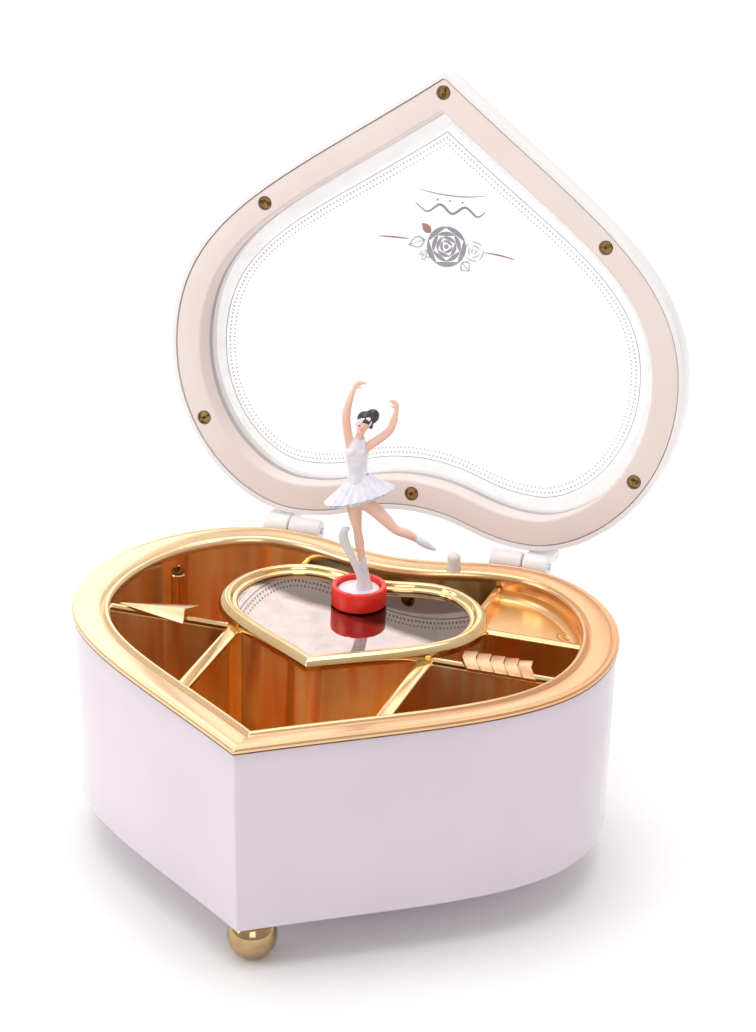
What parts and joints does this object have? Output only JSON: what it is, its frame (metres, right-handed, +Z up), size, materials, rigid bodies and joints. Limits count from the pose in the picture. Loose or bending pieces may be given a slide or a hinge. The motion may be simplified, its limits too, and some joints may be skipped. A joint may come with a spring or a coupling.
{
  "type": "ballerina jewellery box",
  "caption": "Heart-shaped musical jewellery box with a hinged window lid, gold compartment tray and a magnetic dancer that circles on a mirror stage.",
  "frame": {"origin": "on the floor, below the centre of the bounding box of the box with its lid open", "axes": "+Z up, the heart's tip towards -Y, the lid's hinge line along X at +Y"},
  "size_m": [0.165, 0.1872, 0.2172],
  "materials": {
    "casing_plastic": "glossy pinkish-white moulded plastic",
    "lid_plastic": "glossy white moulded plastic",
    "frame_plastic": "satin pinkish-beige moulded plastic",
    "gold_plating": "moulded plastic, vacuum plated a polished champagne gold",
    "stage_mirror": "brown-tinted mirror plate",
    "window_clear": "clear panel with a printed lace border and flower ornament",
    "screw_brass": "bronzed brass",
    "steel": "bright steel",
    "movement_brass": "machined brass",
    "black_plastic": "black moulded plastic",
    "ring_red": "glossy red moulded plastic",
    "figure_white": "pearly white moulded plastic",
    "figure_skin": "painted skin-coloured plastic",
    "figure_hair": "painted black plastic"
  },
  "bodies": {
    "box": {"casing_shell": "casing_plastic", "foot_front": "gold_plating", "foot_left": "gold_plating", "foot_right": "gold_plating", "compartment_tray": "gold_plating", "tray_screw": "screw_brass", "channel_liner": "black_plastic", "arrow_head": "gold_plating", "arrow_fletching": "gold_plating", "stage_bezel": "gold_plating", "stage_mirror": "stage_mirror", "casing_knuckle_left": "casing_plastic", "casing_knuckle_right": "casing_plastic", "hinge_pin_left": "steel", "hinge_pin_right": "steel", "movement_bedplate": "steel", "movement_screw_1": "steel", "movement_screw_2": "steel", "cylinder_bearing_left": "steel", "cylinder_bearing_right": "steel", "comb": "steel", "comb_screw": "steel", "governor_bracket": "steel", "stage_bearing_plate": "steel", "sun_gear": "movement_brass"},
    "lid": {"lid_shell": "lid_plastic", "lid_inner_frame": "frame_plastic", "lid_window": "window_clear", "lid_screw_1": "screw_brass", "lid_screw_2": "screw_brass", "lid_screw_3": "screw_brass", "lid_screw_4": "screw_brass", "lid_screw_5": "screw_brass", "lid_screw_6": "screw_brass", "lid_knuckle_left": "lid_plastic", "lid_knuckle_right": "lid_plastic"},
    "plunger": {"start_stop_plunger": "frame_plastic", "stop_arm": "steel", "plunger_spring": "steel"},
    "barrel": {"spring_barrel": "movement_brass", "great_wheel": "movement_brass", "mainspring": "steel"},
    "key": {"winding_arbor": "steel", "winding_key": "steel"},
    "cylinder": {"pin_cylinder": "movement_brass", "cylinder_pinion": "movement_brass"},
    "governor": {"governor_worm": "steel", "governor_fan": "black_plastic"},
    "carrier": {"stage_shaft": "steel", "magnet_carrier": "black_plastic"},
    "dancer": {"planet_pinion": "movement_brass", "drive_magnet": "steel", "figure_base_ring": "ring_red", "figure_base_disc": "figure_white", "dancer_legs": "figure_white", "swan_support": "figure_white", "dancer_skirt": "figure_white", "dancer_bodice": "figure_white", "dancer_head_and_arms": "figure_skin", "dancer_hair_bun": "figure_hair"}
  },
  "joints": [
    {"name": "lid_hinge", "type": "hinge", "parent": "box", "child": "lid", "pos_m": [0, 0.05343, 0.0728], "axis": [1, 0, 0], "range_deg": [0, 33]},
    {"name": "plunger_press", "type": "slide", "parent": "box", "child": "plunger", "axis": [0, 0, -1], "range_m": [0, 0.0034], "stiffness_N_per_m": 180, "springref_m": -0.003, "deforming": ["plunger_spring"]},
    {"name": "barrel_turn", "type": "hinge", "parent": "box", "child": "barrel", "pos_m": [-0.015, 0.00233, 0.0255], "axis": [0, 0, 1], "continuous": true},
    {"name": "key_turn", "type": "hinge", "parent": "box", "child": "key", "pos_m": [-0.015, 0.00233, 0.0115], "axis": [0, 0, 1], "continuous": true},
    {"name": "cylinder_turn", "type": "hinge", "parent": "box", "child": "cylinder", "pos_m": [0.01275, 0.00233, 0.0385], "axis": [1, 0, 0], "continuous": true},
    {"name": "governor_spin", "type": "hinge", "parent": "box", "child": "governor", "pos_m": [0.013, 0.01683, 0.0295], "axis": [0, 0, 1], "continuous": true},
    {"name": "carrier_orbit", "type": "hinge", "parent": "box", "child": "carrier", "pos_m": [0, -0.00217, 0.0625], "axis": [0, 0, 1], "continuous": true},
    {"name": "dancer_spin", "type": "hinge", "parent": "carrier", "child": "dancer", "pos_m": [0, 0.00983, 0.0625], "axis": [0, 0, 1], "continuous": true}
  ],
  "couplings": [
    {"joint": "cylinder_turn", "follows": "barrel_turn", "ratio": 1.875},
    {"joint": "governor_spin", "follows": "barrel_turn", "ratio": 45},
    {"joint": "carrier_orbit", "follows": "barrel_turn", "ratio": 1.25},
    {"joint": "dancer_spin", "follows": "barrel_turn", "ratio": 2.5}
  ]
}
